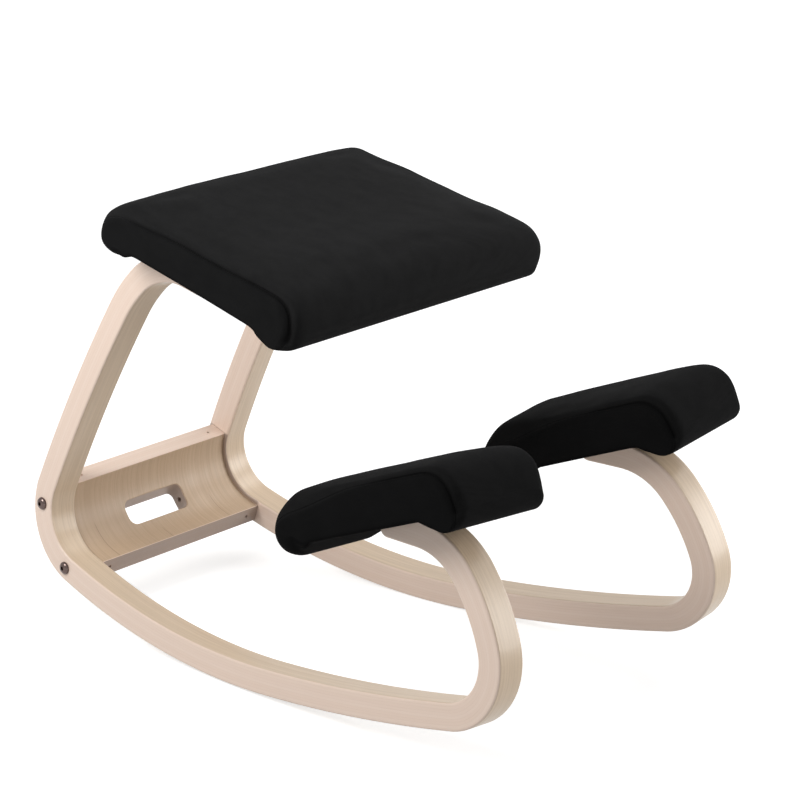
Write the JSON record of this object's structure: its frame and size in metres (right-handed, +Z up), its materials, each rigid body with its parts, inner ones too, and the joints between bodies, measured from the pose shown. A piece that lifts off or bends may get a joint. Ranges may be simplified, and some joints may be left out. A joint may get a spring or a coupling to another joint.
{
  "type": "kneeling chair",
  "caption": "Kneeling chair on bent-laminated rocker runners, with a sloping seat, shin pads and a bent cross panel with a handle slot.",
  "frame": {"origin": "on the floor, on the chair's centre plane, at the middle of the runners' depth", "axes": "+Z up, +Y towards the back of the chair, +X to the right as seen from the front, as in the nodes' names"},
  "size_m": [0.482, 0.721, 0.5174],
  "materials": {
    "runner_wood": "clear satin lacquer on pale birch or beech laminate",
    "panel_wood": "clear satin lacquer on pale bent laminate",
    "black_fabric": "matt tightly woven wool-like upholstery cloth",
    "base_cloth": "thin non-woven cloth",
    "foam": "moulded flexible foam",
    "board": "bare moulded plywood",
    "dark_steel": "dark nickel plate",
    "zinc_steel": "zinc plate"
  },
  "bodies": {
    "root": {"runner_right": "runner_wood", "runner_left": "runner_wood", "cross_panel": "panel_wood", "panel_bolts": "dark_steel", "panel_inserts": "zinc_steel", "seat_bolts": "zinc_steel", "seat_washers": "zinc_steel", "seat_t_nuts": "zinc_steel", "knee_bolts": "zinc_steel", "knee_washers": "zinc_steel", "knee_t_nuts": "zinc_steel", "seat_cover": "black_fabric", "seat_base_cloth": "base_cloth", "seat_foam": "foam", "seat_shell": "board", "knee_cover_right": "black_fabric", "knee_base_cloth_right": "base_cloth", "knee_foam_right": "foam", "knee_shell_right": "board", "knee_cover_left": "black_fabric", "knee_base_cloth_left": "base_cloth", "knee_foam_left": "foam", "knee_shell_left": "board"}
  },
  "joints": []
}
